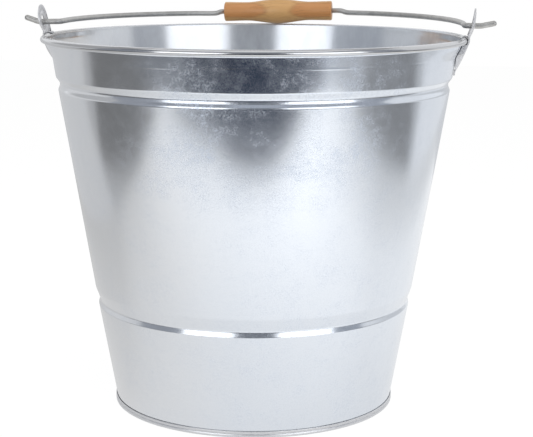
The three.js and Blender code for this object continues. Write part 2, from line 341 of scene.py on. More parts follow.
def bead_arc(radius):
    """Section of the rolled edge, which hangs slightly on its outer side."""
    droop, points = 0.0004, []
    for i in range(CURL_STEPS + 1):
        angle = math.pi - CURL_ANGLE * i / CURL_STEPS
        out, up = math.cos(angle), math.sin(angle)
        points.append((BEAD_MIDDLE + radius * out, BEAD_HEIGHT + radius * up - droop * max(0, out) ** 2))
    return points


def rim_corner(inner, square_share):
    """Inner half of the rolled edge's top, from its crown inwards: round at the ears, squarer elsewhere."""
    steps, round_power, square_power = 12, 2.0, 4.0
    power = mix(round_power, square_power, square_share)
    points = []
    for i in range(1, steps):
        angle = math.pi / 2 * i / steps
        inwards, up = math.sin(angle) ** (2 / power), math.cos(angle) ** (2 / power)
        points.append((BEAD_MIDDLE - (BEAD_MIDDLE - inner) * inwards, BEAD_HEIGHT + BEAD_RADIUS * up))
    return points


def make_wall(material):
    """Tapered wall sheet, curled outwards round the rim wire."""
    heights = wall_heights() + [BEAD_HEIGHT]
    outer = [plain_radius(height) for height in heights]
    inner = [plain_inner_radius(height) for height in heights]
    outside_curl = [
        (radius, height) for radius, height in reversed(bead_arc(BEAD_RADIUS))
        if radius > BEAD_MIDDLE or height < BEAD_HEIGHT
    ]
    curl = bead_arc(BEAD_RADIUS - SHEET)[1:] + outside_curl

    def profile(angle):
        outside = [(radius + flare(height, angle), height) for radius, height in zip(outer, heights)]
        inside = [(radius + inner_flare(height, angle), height) for radius, height in zip(inner, heights)]
        corner = rim_corner(inside[-1][0], 1 - beside_ear(angle))
        x, y = math.cos(angle), math.sin(angle)
        return [
            (radius + dent(x * radius, y * radius, height), height)
            for radius, height in outside + curl + corner + inside[::-1]
        ]

    skin = revolved(profile, TURN_STEPS)
    piece("wall_sheet", skin, material, "bucket", ["body_wall"])


def make_seam(material):
    """Flat lock seam that stands on the wall at the back, with one open fold along it."""
    half = SEAM_WIDTH / 2
    edge, fold, fold_depth = 0.0004, 0.0009, 0.00022
    section = [
        (-half - edge, -SHEET / 2), (-half - edge / 2, SEAM_PROUD * 0.15), (-half, SEAM_PROUD * 0.7),
        (-half + edge, SEAM_PROUD), (half - fold - edge, SEAM_PROUD), (half - fold, SEAM_PROUD - fold_depth),
        (half - fold + edge / 2, SEAM_PROUD * 0.9), (half - edge / 2, SEAM_PROUD * 0.78),
        (half, SEAM_PROUD * 0.4), (half + edge, -SHEET / 2),
    ]
    heights = [height for height in wall_heights() if FOOT_HEIGHT < height < SEAM_TOP] + [SEAM_TOP]
    vertices, least = [], 0.05
    for height in heights:
        fade = clamp((SEAM_TOP - height) / edge, least)
        for across, proud in section:
            lift = proud * fade if proud > 0 else proud
            radius = wall_radius(height, math.pi / 2) + lift
            vertices.append((across, math.sqrt(radius ** 2 - across ** 2), height))
    skin = vertices, rod_faces(len(heights), len(section))
    piece("side_seam", skin, material, "bucket")


def make_base(material):
    """Raised floor with a pressed ring, and the double seam that holds the wall."""
    rounding, groove, steps = 0.0007, 0.00028, 6
    inner = WALL_FOOT_RADIUS - SHEET - CLEARANCE
    outside = arc(FOOT_RADIUS - rounding, rounding, rounding, -math.pi / 2, 0, steps)
    for inset, height_share in ((0, 0.48), (groove, 0.56), (groove * 0.2, 0.64)):
        outside.append((FOOT_RADIUS - inset, FOOT_HEIGHT * height_share))
    outside += arc(FOOT_RADIUS - SHEET, FOOT_HEIGHT - SHEET, SHEET, 0, math.pi / 2, steps)
    ring, ring_half, ring_rise, ring_steps = 0.072, 0.003, 0.0009, 10
    top_ring = []
    for i in range(ring_steps, -1, -1):
        angle = math.pi * i / ring_steps
        top_ring.append((ring - ring_half * math.cos(angle), FOOT_HEIGHT - ring_rise * math.sin(angle) ** 2))
    under_ring = [(radius, height - SHEET) for radius, height in reversed(top_ring)]
    profile = [(0, FOOT_HEIGHT - SHEET)] + under_ring + [
        (inner - SHEET, FOOT_HEIGHT - SHEET), (inner - SHEET, rounding), (inner - SHEET + rounding / 2, 0),
    ] + outside + [
        (FOOT_RADIUS - SHEET, SHEET), (inner, SHEET), (inner, FOOT_HEIGHT - SHEET / 2),
        (inner - SHEET / 2, FOOT_HEIGHT),
    ] + top_ring + [(0, FOOT_HEIGHT)]
    skin = revolved(profile, TURN_STEPS)
    piece("base_and_foot_seam", skin, material, "bucket", ["base_pan"])


# Ears
def ear_face(height):
    """Outer face of the ear's sheet, as a radius, from the tip of the tongue to the top of the eye."""
    flush, standoff, standoff_height, neck_turn, lean = 0.0034, 0.0032, 0.252, 0.276, math.radians(4.5)
    shoulder_drop, neck_out, bend = 0.0011, 0.0029, 0.0009
    outside = RIM_RADIUS + CLEARANCE
    eye_top = EYE_HEIGHT + EYE_RADIUS
    knots = [
        (EAR_TIP, taper_radius(EAR_TIP) + CLEARANCE),
        (EAR_TIP + flush, taper_radius(EAR_TIP + flush) + CLEARANCE),
        (standoff_height, taper_radius(standoff_height) + standoff),
        (BEAD_HEIGHT - shoulder_drop, outside),
        (RIM_TOP, outside),
        (neck_turn, outside + neck_out),
        (eye_top, outside + neck_out + (eye_top - neck_turn) * math.tan(lean)),
    ]
    return rounded(knots, height, bend) + EAR_SHEET


def resampled(points, step):
    """Closed line of points spaced evenly along it."""
    loop = [*points, points[0]]
    lengths = [(Vector(b) - Vector(a)).length for a, b in zip(loop, loop[1:])]
    count = round(sum(lengths) / step)
    found, segment, passed = [], 0, 0.0
    for i in range(count):
        target = sum(lengths) * i / count
        while passed + lengths[segment] < target:
            passed += lengths[segment]
            segment += 1
        share = (target - passed) / lengths[segment]
        found.append(Vector(loop[segment]).lerp(Vector(loop[segment + 1]), share))
    return found


def softened(points, rounds):
    """Closed line with its corners rounded."""
    for _ in range(rounds):
        count = len(points)
        points = [(points[i - 1] + points[i] * 2 + points[(i + 1) % count]) / 4 for i in range(count)]
    return points


def ear_outline():
    """Points of (across, height) round the ear, anticlockwise from the tip of the tongue."""
    tip_steps, neck_steps, eye_steps, spacing, rounds = 8, 8, 16, 0.0006, 6
    half = arc(0, EAR_TIP + EAR_TIP_RADIUS, EAR_TIP_RADIUS, -math.pi / 2, 0, tip_steps)
    half += [(EAR_SHOULDER_HALF, EAR_SHOULDER_BOTTOM), (EAR_SHOULDER_HALF, EAR_SHOULDER_TOP)]
    neck_angle = math.acos(NECK_HALF / EYE_RADIUS)
    neck = Vector((NECK_HALF, EYE_HEIGHT - EYE_RADIUS * math.sin(neck_angle)))
    start, pull = Vector((EAR_SHOULDER_HALF, EAR_SHOULDER_TOP)), Vector((EAR_SHOULDER_HALF, BEAD_HEIGHT))
    for i in range(1, neck_steps + 1):
        share = i / neck_steps
        half.append(tuple(start.lerp(pull, share).lerp(pull.lerp(neck, share), share)))
    half += arc(0, EYE_HEIGHT, EYE_RADIUS, -neck_angle, math.pi / 2, eye_steps)[1:]
    other = [(-across, height) for across, height in reversed(half[1:-1])]
    return softened(resampled(half + other, spacing), rounds)


def ear_edge_depth(height):
    """How deep the ear's edge is, from its outer face, where it turns in towards the bucket."""
    bead_bottom = BEAD_HEIGHT - BEAD_RADIUS - CLEARANCE
    flange_start, flange_rise, flange_end, lip_start = EAR_TIP + 0.0034, 0.003, 0.0006, 0.0014
    if height < bead_bottom:
        reach = ear_face(height) - wall_radius(height) - CLEARANCE - EAR_SHEET
        ends = smooth((height - flange_start) / flange_rise) * smooth((bead_bottom - height) / flange_end)
        return EAR_SHEET + max(0.0, reach) * ends
    rise = smooth((height - EAR_LIP_BOTTOM) / lip_start)
    fall = smooth((EAR_LIP_TOP - height) / (EAR_LIP_TOP - EAR_LIP_BOTTOM))
    return EAR_SHEET + EAR_LIP * rise * fall


def ear_press(across, height):
    """Shallow ring pressed outwards round the eye."""
    ring_inner, ring_outer, ring_edge, ring_rise = 0.0052, 0.0086, 0.0009, 0.00035
    away = math.hypot(across, height - EYE_HEIGHT)
    return ring_rise * smooth((away - ring_inner) / ring_edge) * smooth((ring_outer - away) / ring_edge)


def on_ear(across, height, depth):
    """Point at a depth under the outer face of the right ear."""
    radius = ear_face(height) + ear_press(across, height) - depth
    return (math.sqrt(radius ** 2 - across ** 2), across, height)


def edge_section(depth):
    """Turned edge as (inset from the outline, depth), from the outer face round to the inner face."""
    rounding, inner_share, steps = 0.0002, 0.4, 4
    turned = smooth((depth - EAR_SHEET) / EAR_SHEET)
    section = sheet_edge(mix(rounding, EAR_CORNER, turned), rounding, depth, steps)
    section += [(EAR_SHEET, max(depth - rounding * turned, EAR_SHEET))]
    inner_corner = reversed(corner_round(EAR_CORNER * inner_share * turned, steps))
    return section + [(EAR_SHEET + inset, EAR_SHEET + off) for inset, off in inner_corner]


def within(point, loop):
    """Whether a closed line goes round a point."""
    crossings = False
    for a, b in zip(loop, [*loop[1:], loop[0]]):
        if (a.y > point.y) != (b.y > point.y):
            if point.x < a.x + (b.x - a.x) * (point.y - a.y) / (b.y - a.y):
                crossings = not crossings
    return crossings


def plate_triangles(boundary, hole, hole_radius, step):
    """Flat face between an outline and the eye's hole: points, and triangles of their numbers."""
    margin, any_triangles, merged = step * 0.6, 0, 1e-7
    points = [*boundary, *hole]
    ring = [Vector(point) for point in points]
    low = Vector((min(p.x for p in boundary), min(p.y for p in boundary)))
    high = Vector((max(p.x for p in boundary), max(p.y for p in boundary)))
    rows, columns = int((high.y - low.y) / step), int((high.x - low.x) / step)
    for i in range(1, rows + 1):
        for j in range(columns + 1):
            point = Vector((low.x + step * (j + 0.5 * (i % 2)), low.y + step * i))
            if within(point, boundary) and min((point - other).length for other in ring) > margin:
                if (point - Vector((0, EYE_HEIGHT))).length > hole_radius:
                    points.append(point)
    count, holes = len(boundary), len(hole)
    edges = [(i, (i + 1) % count) for i in range(count)]
    edges += [(count + i, count + (i + 1) % holes) for i in range(holes)]
    found, _, faces, *_ = delaunay_2d_cdt(points, edges, [], any_triangles, merged)
    kept = []
    for face in faces:
        middle = sum((found[i] for i in face), Vector((0, 0))) / len(face)
        if within(middle, boundary) and not within(middle, hole):
            kept.append(tuple(face))
    return found, kept


def ear_sheet():
    """Closed skin of the pressed ear: outer face, turned edge, inner face and the rounded eye hole."""
    outline = ear_outline()
    count = len(outline)
    inwards = []
    for i in range(count):
        line = (outline[(i + 1) % count] - outline[i - 1]).normalized()
        inwards.append(Vector((-line.y, line.x)))
    sections = [edge_section(ear_edge_depth(point.y)) for point in outline]
    rings = [
        [(outline[i] + inwards[i] * sections[i][k][0], sections[i][k][1]) for i in range(count)]
        for k in range(len(sections[0]))
    ]
    vertices = [on_ear(point.x, point.y, depth) for ring in rings for point, depth in ring]
    faces = ring_faces(len(rings), count)

    sides, rounding, rounding_steps, step = 40, 0.00025, 4, 0.0007
    circle = [Vector(point) for point in unit_circle(sides)]
    eye = Vector((0, EYE_HEIGHT))
    hole = sheet_edge(rounding, rounding, EAR_SHEET, rounding_steps)
    start = len(vertices)
    for out, depth in hole:
        for way in circle:
            place = eye + way * (EYE_HOLE_RADIUS + out)
            vertices.append(on_ear(place.x, place.y, depth))
    faces += ring_faces(len(hole), sides, start)

    hole_radius = EYE_HOLE_RADIUS + rounding
    hole_line = [eye + way * hole_radius for way in circle]
    for ring, depth in ((rings[0], 0), (rings[-1], EAR_SHEET)):
        points, triangles = plate_triangles([point for point, _ in ring], hole_line, hole_radius, step)
        start = len(vertices)
        vertices += [on_ear(point.x, point.y, depth) for point in points]
        faces += [tuple(start + i for i in triangle) for triangle in triangles]
    return vertices, faces


def strap_sheet():
    """Strap that hooks from the ear over the rolled edge, with rounded edges and end."""
    near = BEAD_RADIUS + CLEARANCE
    steps, corner, rounding, rounding_steps = 24, 0.0018, 0.0002, 3
    edge = sheet_edge(rounding, rounding, STRAP_SHEET, rounding_steps)
    vertices = []
    for i in range(steps + 1):
        angle = STRAP_TURN * i / steps
        left = STRAP_TURN * near * (1 - i / steps)
        narrowing = corner - math.sqrt(corner ** 2 - (corner - left) ** 2) if left < corner else 0
        half = STRAP_WIDTH / 2 - narrowing
        section = [(half - inset, depth) for inset, depth in edge]
        section += [(-across, depth) for across, depth in reversed(section)]
        for across, depth in section:
            radius = BEAD_MIDDLE + (near + depth) * math.cos(angle)
            height = BEAD_HEIGHT + (near + depth) * math.sin(angle)
            vertices.append((math.sqrt(radius ** 2 - across ** 2), across, height))
    return vertices, rod_faces(steps + 1, 2 * len(edge))


def make_ear(side, turn, material):
    matrix = Matrix.Rotation(turn, 4, "Z")
    replaced = ["ear_" + side]
    piece("ear_plate_" + side, ear_sheet(), material, "bucket", replaced, matrix)
    piece("ear_strap_" + side, strap_sheet(), material, "bucket", matrix=matrix)


# Bail
def bail_half(side, arm):
    """Points of (across, away from the pivots, up) of one half of the bail, from its tail to the grip."""
    tail_shares = (1.0, 0.93, 2 / 3, 1 / 3, 0.0)
    elbow_steps, bow_steps, jog_steps = 5, 11, 3
    half_width = arm["half_width"]
    reach = math.hypot(GRIP_MIDDLE.y - PIVOT.y, GRIP_MIDDLE.z - PIVOT.z)
    slope = side * math.tan(math.asin(GRIP_AXIS.z))
    points = []

    def add(out, away, up):
        points.append(Vector((side * out, away, up)))

    for share in tail_shares:
        length = arm["tail_length"] * share
        add(arm["pivot_end"] + length * math.cos(arm["tail_angle"]), 0, length * math.sin(arm["tail_angle"]))
    middle = half_width + ELBOW_RADIUS
    for out, away in arc(middle, ELBOW_RADIUS, ELBOW_RADIUS, -math.pi / 2, -math.pi, elbow_steps):
        add(out, away, 0)
    grip_reach = GRIP_LENGTH / 2 + GRIP_END_PLAY + side * GRIP_OFFSET
    depth = (reach - ELBOW_RADIUS) / math.sqrt(1 - (grip_reach / half_width) ** 2)

    def bow(out):
        return ELBOW_RADIUS + depth * math.sqrt(1 - (out / half_width) ** 2)

    jog_inner = grip_reach + arm["jog_start"]
    jog_outer = jog_inner + arm["jog_length"]
    arm_start = slope * jog_inner - arm["jog_depth"]
    end_angle = math.acos(jog_outer / half_width)
    for i in range(1, bow_steps + 1):
        share = i / bow_steps
        out = half_width * math.cos(end_angle * share)
        add(out, bow(out), arm_start * share + arm["rise"] * math.sin(math.pi * share))
    for i in range(1, jog_steps + 1):
        share = i / jog_steps
        out = mix(jog_outer, jog_inner, share)
        add(out, bow(out), arm_start + arm["jog_depth"] * smooth(share))
    add(grip_reach, reach, slope * grip_reach)
    return points


def curved(points, steps):
    """Centripetal Catmull-Rom curve through points."""
    points = [points[0] * 2 - points[1], *points, points[-1] * 2 - points[-2]]
    found = []
    for four in zip(points, points[1:], points[2:], points[3:]):
        knots = [0.0]
        for near, far in zip(four, four[1:]):
            knots.append(knots[-1] + math.sqrt((far - near).length))
        for i in range(steps):
            place = mix(knots[1], knots[2], i / steps)
            line = four
            for first_knot, reach in ((0, 1), (0, 2), (1, 1)):
                joined = []
                for k, (near, far) in enumerate(zip(line, line[1:]), first_knot):
                    low, high = knots[k], knots[k + reach]
                    share = (place - low) / (high - low)
                    joined.append(near * (1 - share) + far * share)
                line = joined
            found += line
    return found + [points[-2]]


def swept(route, radius, sides):
    """Round rod along a route, with softly domed ends."""
    dome, dome_steps = radius * 0.92, 8
    start, end = route[0], route[-1]
    tangents = []
    for i in range(len(route)):
        tangents.append((route[min(i + 1, len(route) - 1)] - route[max(i - 1, 0)]).normalized())
    domed = []
    for i in range(dome_steps):
        angle = math.pi / 2 * (1 - i / dome_steps)
        domed.append((dome * (1 - math.sin(angle)), radius - dome + dome * math.cos(angle)))
    rings = [(start + tangents[0] * off, tangents[0], size) for off, size in domed]
    rings += [
        (place, tangent, radius) for place, tangent in zip(route, tangents)
        if (place - start).length > dome and (place - end).length > dome
    ]
    rings += [(end - tangents[-1] * off, tangents[-1], size) for off, size in reversed(domed)]

    circle = unit_circle(sides)
    normal = tangents[0].orthogonal().normalized()
    vertices = []
    for middle, tangent, size in rings:
        normal = (normal - tangent * normal.dot(tangent)).normalized()
        other = tangent.cross(normal)
        vertices += [middle + (normal * x + other * y) * size for x, y in circle]
    return vertices, rod_faces(len(rings), sides)


def make_bail(material):
    steps, sides = 5, 24
    points = bail_half(-1, LEFT_ARM) + bail_half(1, RIGHT_ARM)[::-1]
    rest = math.atan2(GRIP_MIDDLE.z - PIVOT.z, GRIP_MIDDLE.y - PIVOT.y)
    place = Matrix.Translation(PIVOT) @ Matrix.Rotation(rest, 4, "X")
    skin = swept([place @ point for point in curved(points, steps)], WIRE_RADIUS, sides)
    piece("bail_rod", skin, material, "bail", ["bail_wire"])


# Grip
def grip_radius(place):
    away = abs(place)
    if away < GRIP_WAIST_PLACE:
        return mix(GRIP_BULGE, GRIP_WAIST, smooth(away / GRIP_WAIST_PLACE))
    return mix(GRIP_WAIST, GRIP_END, smooth((away - GRIP_WAIST_PLACE) / (GRIP_LENGTH / 2 - GRIP_WAIST_PLACE)))


def make_grip(material):
    half = GRIP_LENGTH / 2
    bore, lip = WIRE_RADIUS + CLEARANCE, 0.0003
    steps, edge_steps, sides = 48, 6, 72
    edge = [(grip_radius(half) - inset, depth - half) for inset, depth in corner_round(GRIP_EDGE, edge_steps)]
    outside = edge[:-1]
    for i in range(steps + 1):
        place = mix(-half + GRIP_EDGE, half - GRIP_EDGE, i / steps)
        outside.append((grip_radius(place), place))
    outside += [(radius, -place) for radius, place in reversed(edge[:-1])]
    profile = [(bore, -half + lip), (bore + lip, -half)] + outside + [(bore + lip, half), (bore, half - lip)]
    vertices, faces = revolved(profile, sides)
    vertices = [(height, y, -x) for x, y, height in vertices]
    back = Vector((0, 0, 1)).cross(GRIP_AXIS).normalized()
    turn = Matrix((GRIP_AXIS, back, GRIP_AXIS.cross(back))).transposed().to_4x4()
    matrix = Matrix.Translation(GRIP_MIDDLE) @ turn
    piece("wood_grip", (vertices, faces), material, "grip", ["grip"], matrix)


# Materials
class Nodes:
    """Short way to add and join the nodes of a material or world."""

    def __init__(self, owner, shader="Principled BSDF"):
        owner.use_nodes = True
        self.owner = owner
        self.tree = owner.node_tree
        self.shader = self.tree.nodes[shader]

    def fill(self, node, inputs):
        """Joins sockets to a node's inputs, given by name or number, or sets them to plain values."""
        for key, value in inputs.items():
            if isinstance(value, bpy.types.NodeSocket):
                self.tree.links.new(value, node.inputs[key])
            else:
                node.inputs[key].default_value = value

    def add(self, kind, inputs, **settings):
        """New node, and its outputs."""
        node = self.tree.nodes.new(kind)
        for key, value in settings.items():
            setattr(node, key, value)
        self.fill(node, inputs)
        return node.outputs

    def math(self, operation, first, second=0.0, clamped=False):
        return self.add("ShaderNodeMath", {0: first, 1: second}, operation=operation, use_clamp=clamped)[0]

    def times(self, first, *others):
        for other in others:
            first = self.math("MULTIPLY", first, other)
        return first

    def plus(self, first, second, clamped=False):
        return self.math("ADD", first, second, clamped)

    def minus(self, first, second, clamped=False):
        return self.math("SUBTRACT", first, second, clamped)

    def away(self, value, middle):
        """How far a value is from a middle."""
        return self.math("ABSOLUTE", self.minus(value, middle))

    def range(self, value, low, high, to_low=0.0, to_high=1.0, soft=True):
        """Takes low to high over into to_low to to_high, and holds it there outside them."""
        return self.add("ShaderNodeMapRange", {
            "Value": value, "From Min": low, "From Max": high, "To Min": to_low, "To Max": to_high,
        }, interpolation_type="SMOOTHSTEP" if soft else "LINEAR")["Result"]


class Looks(Nodes):
    """Nodes of a new material of the bucket, in the piece's own coordinates."""

    def __init__(self, name):
        super().__init__(bpy.data.materials.new(name))
        coordinates = self.add("ShaderNodeTexCoord", {})
        self.place, self.normal = coordinates["Object"], coordinates["Normal"]
        self.axes = self.add("ShaderNodeSeparateXYZ", {0: self.place})

    def noise(self, scale, detail=3.0, roughness=0.5, distortion=0.0, stretch=None):
        place = self.place
        if stretch:
            place = self.add("ShaderNodeMapping", {"Vector": place, "Scale": stretch})["Vector"]
        return self.add("ShaderNodeTexNoise", {
            "Vector": place, "Scale": scale,
            "Detail": detail, "Roughness": roughness, "Distortion": distortion,
        })["Fac"]

    def blend(self, share, first, second):
        """Colour between two, each a socket or its red, green and blue."""
        node = self.tree.nodes.new("ShaderNodeMix")
        node.data_type = "RGBA"
        first, second = (c if isinstance(c, bpy.types.NodeSocket) else (*c, 1) for c in (first, second))
        places = {socket.name: i for i, socket in enumerate(node.inputs) if socket.type == "RGBA"}
        self.fill(node, {"Factor": share, places["A"]: first, places["B"]: second})
        return [socket for socket in node.outputs if socket.type == "RGBA"][0]

    def bump(self, height, strength, distance):
        values = {"Height": height, "Strength": strength, "Distance": distance}
        return self.add("ShaderNodeBump", values)["Normal"]

    def finish(self, colour, metallic, roughness, normal):
        self.fill(self.shader, {
            "Base Color": colour, "Metallic": metallic, "Roughness": roughness, "Normal": normal,
        })
        return self.owner


def spangle(nodes, cell):
    """Brightness of zinc crystals, one random value for each, with soft borders."""
    warp_scale, warp_share, softness = 1.5, 0.06, 0.35
    warp = nodes.times(nodes.noise(warp_scale / cell, 2.0), warp_share)
    warped = nodes.add(
        "ShaderNodeVectorMath", {0: nodes.place, "Scale": nodes.plus(1.0, warp)}, operation="SCALE"
    )[0]
    cells = nodes.add("ShaderNodeTexVoronoi", {
        "Vector": warped, "Scale": 1 / cell, "Smoothness": softness,
    }, feature="SMOOTH_F1")
    return nodes.add("ShaderNodeSeparateColor", {"Color": cells["Color"]})["Red"]


def zinc_bloom(nodes, crystals):
    """Share of white bloom on hot-dipped zinc: clouds broken up by grit, fine scratches and rolling lines."""
    # A noise has its scale, detail, roughness and distortion, and a range its ends and the bloom at them
    clouds = nodes.range(nodes.noise(62, 2.0, 0.6, 0.1), 0.34, 0.68, 0.26, 0.96)
    patches = nodes.range(nodes.noise(230, 3.0, 0.7), 0.36, 0.66, 0.58, 1.27)
    broad = nodes.range(nodes.noise(21, 2.0, 0.6), 0.36, 0.62, 0.50, 1.1)
    grit = nodes.range(nodes.noise(1400, 1.5, 0.8), 0.36, 0.64, 0.0, 1.95, False)
    line = nodes.range(nodes.away(nodes.noise(24, 3.0, 0.5, 0.5), 0.5), 0.0008, 0.004, 1, 0)
    scratches = nodes.times(line, nodes.range(nodes.noise(31, 2.0), 0.55, 0.62))
    rolled = nodes.range(nodes.noise(1.0, 4.0, 0.65, 0.0, (12, 12, 1300)), 0.50, 0.76)
    bloom = nodes.times(nodes.times(clouds, patches), nodes.times(broad, grit))
    for layer, share in ((scratches, 0.45), (rolled, 0.20), (crystals, 0.04)):
        bloom = nodes.plus(bloom, nodes.times(layer, share))
    return bloom


def finish_zinc(nodes, base, rough, bloom, crystals, white):
    """Joins the bloom to the shader: duller, whiter and slightly raised."""
    bloom_rough, relief, relief_depth = 0.12, 0.04, 0.0001
    return nodes.finish(
        nodes.blend(bloom, base, white), nodes.minus(1.0, bloom, True),
        nodes.plus(rough, nodes.times(bloom, bloom_rough), True), nodes.bump(crystals, relief, relief_depth),
    )


def galvanised(name, base, rough, bloom_share, dull_share, edge_shade_share):
    """Small galvanised parts, evenly dull under their bloom, with painted shade that darkens their sharp
    edges.
    """
    cell, shaded_edge_low, shaded_edge_high = 0.004, 0.51, 0.56
    white, dark = (0.72, 0.73, 0.76), (0.24, 0.24, 0.25)
    nodes = Looks(name)
    crystals = spangle(nodes, cell)
    bloom = nodes.plus(nodes.times(zinc_bloom(nodes, crystals), bloom_share), dull_share, True)
    # Painted shade: sharp convex edges, found by their pointiness, are darkened towards a dark grey, in the
    # base and in the bloom.
    pointed = nodes.add("ShaderNodeNewGeometry", {})["Pointiness"]
    edge = nodes.range(pointed, shaded_edge_low, shaded_edge_high, 0, edge_shade_share)
    base, white = nodes.blend(edge, base, dark), nodes.blend(edge, white, dark)
    return finish_zinc(nodes, base, rough, bloom, crystals, white)


def sheet_steel(name):
    """Galvanised wall: bloom thickest on the handled front, duller inside, a darker rolled edge, and a
    painted bluish reflection tint on the right side.
    """
    cell, turn, plain_rough, inside_gloss = 0.006, 0.01, 0.165, 0.06
    # cool is the colour of the painted reflection tint on the right side.
    plain, cool, dull = (0.80, 0.812, 0.83), (0.77, 0.81, 0.865), (0.64, 0.645, 0.655)
    blue, grey, brown = (0.55, 0.64, 0.80), (0.73, 0.775, 0.84), (0.50, 0.475, 0.44)
    nodes = Looks(name)
    across, along_y, height = nodes.axes
    crystals = spangle(nodes, cell)

    # Bloom of the handled front: less in its middle and low down
    handled_middle, near, far = 0.03, 0.045, 0.115
    worn_middle, worn_near, worn_far = 0.015, 0.012, 0.032
    handled = nodes.times(
        nodes.range(nodes.away(across, handled_middle), near, far, 1, 0),
        nodes.range(along_y, -0.02, -0.10),
        nodes.range(nodes.away(across, worn_middle), worn_near, worn_far, 0.58, 1.0),
        nodes.range(height, 0.15, 0.20, 0.12, 1.0),
    )
    share = nodes.range(handled, 0, 1, 0.08, 0.29, False)

    # Inside of the wall, and the outer side of the rolled edge
    flat = nodes.add("ShaderNodeVectorMath", {0: nodes.place, 1: (1, 1, 0)}, operation="MULTIPLY")[0]
    outwards = nodes.add("ShaderNodeVectorMath", {0: flat, 1: nodes.normal}, operation="DOT_PRODUCT")["Value"]
    inside = nodes.range(outwards, turn, -turn)
    outside = nodes.minus(1.0, inside)
    bead_bottom = BEAD_HEIGHT - BEAD_RADIUS
    bead = nodes.range(height, bead_bottom - SHEET, bead_bottom)
    share = nodes.times(share, nodes.range(bead, 0, 1, 1, 0.25))
    bead = nodes.times(bead, outside)

    bloom = nodes.times(zinc_bloom(nodes, crystals), share, nodes.range(inside, 0, 1, 1, 0.15))
    brushed = nodes.range(nodes.noise(1.0, 3.0, 0.6, 0.0, (80, 80, 32)), 0.3, 0.7, 0.39, 0.51)
    bloom = nodes.plus(bloom, nodes.times(inside, brushed), True)
    ends = nodes.range(nodes.away(across, 0), 0.128, 0.145)
    white = nodes.blend(inside, blue, nodes.blend(ends, grey, brown))
    # Painted reflection: the base turns from plain to the cool tint towards the bucket's right side, broken
    # up by a noise.
    right_side_reflection_tint = nodes.plus(across, nodes.times(nodes.noise(9, 2.0, 0.5), 0.08))
    base = nodes.blend(nodes.range(right_side_reflection_tint, -0.06, 0.06), plain, cool)
    base = nodes.blend(bead, base, dull)
    rough = nodes.minus(plain_rough, nodes.times(inside, inside_gloss))
    return finish_zinc(nodes, base, rough, bloom, nodes.times(crystals, outside), white)


def drawn_wire(name):
    """Galvanised wire with dull patches and a fine grain."""
    metallic, relief, relief_depth = 0.85, 0.10, 0.00005
    nodes = Looks(name)
    patches = nodes.noise(120, 4.0, 0.6, 0.5)
    return nodes.finish(
        nodes.blend(nodes.range(patches, 0.35, 0.7), (0.50, 0.495, 0.48), (0.63, 0.625, 0.61)),
        metallic,
        nodes.range(patches, 0.3, 0.7, 0.40, 0.52),
        nodes.bump(nodes.noise(600, 3.0), relief, relief_depth),
    )


def turned_wood(name):
    """Varnished hardwood cut close to the heart, so that its rings show as ovals along the grip."""
    heart_out, heart_up, wander = 0.003, 0.0006, 0.0016
    ring_edge, ring_soft, border_share = 0.0060, 0.0005, 0.25
    relief, relief_depth = 0.12, 0.0001
    heartwood, sapwood, dark = (0.72, 0.33, 0.115), (0.79, 0.455, 0.18), (0.41, 0.165, 0.053)
    nodes = Looks(name)
    wandering = nodes.times(nodes.minus(nodes.noise(1.0, 3.0, 0.5, 0.0, (26, 160, 160)), 0.5), wander)
    out = nodes.plus(nodes.axes["Y"], heart_out)
    up = nodes.minus(nodes.axes["Z"], heart_up)
    depth = nodes.math("SQRT", nodes.plus(nodes.times(out, out), nodes.times(up, up)))
    depth = nodes.plus(depth, wandering)
    late = nodes.range(depth, ring_edge - ring_soft, ring_edge + ring_soft)
    colour = nodes.blend(late, heartwood, sapwood)
    border = nodes.minus(1.0, nodes.times(nodes.away(depth, ring_edge), 1 / ring_soft), True)
    colour = nodes.blend(nodes.times(border, border_share), colour, dark)
    grain = nodes.noise(1.0, 5.0, 0.65, 0.3, (45, 900, 900))
    colour = nodes.blend(nodes.range(grain, 0.46, 0.74, 0.0, 0.42), colour, dark)
    fleck = nodes.noise(1.0, 4.0, 0.6, 0.0, (120, 2200, 2200))
    colour = nodes.blend(nodes.range(fleck, 0.60, 0.74, 0.0, 0.35), colour, dark)
    nodes.fill(nodes.shader, {"Coat Weight": 0.25, "Coat Roughness": 0.22})
    rough = nodes.range(grain, 0.3, 0.7, 0.34, 0.46)
    return nodes.finish(colour, 0.0, rough, nodes.bump(grain, relief, relief_depth))


# Stage
def emitter(name, colour, strength):
    """Material that only glows. Its strength is a number, or a function that makes it from the nodes."""
    nodes = Nodes(bpy.data.materials.new(name))
    nodes.tree.nodes.remove(nodes.shader)
    strength = strength(nodes) if callable(strength) else strength
    glow = nodes.add("ShaderNodeEmission", {"Color": (*colour, 1), "Strength": strength})[0]
    nodes.fill(nodes.tree.nodes["Material Output"], {"Surface": glow})
    return nodes.owner


def seen_share(nodes):
    """1 for rays that show the background, seen straight, reflected or through something, otherwise 0."""
    path = nodes.add("ShaderNodeLightPath", {})
    seen = nodes.math("MAXIMUM", path["Is Camera Ray"], path["Is Glossy Ray"])
    return nodes.math("MAXIMUM", seen, path["Is Transmission Ray"])


def rectangle(left, right, front, back, height):
    return [(left, front, height), (right, front, height), (right, back, height), (left, back, height)]


def stage_card(name, corners, material, faces=()):
    """Flat card, or a row of them, which isn't part of the bucket."""
    mesh = bpy.data.meshes.new(name)
    mesh.from_pydata(corners, [], faces or [tuple(range(len(corners)))])
    mesh.materials.append(material)
    made = added(name, mesh)
    return made


def reflected_card(name, corners, material, faces=()):
    """Card that only reflections see."""
    made = stage_card(name, corners, material, faces)
    made.visible_camera = False
    made.visible_diffuse = False
    made.visible_shadow = False
    made.visible_transmission = False


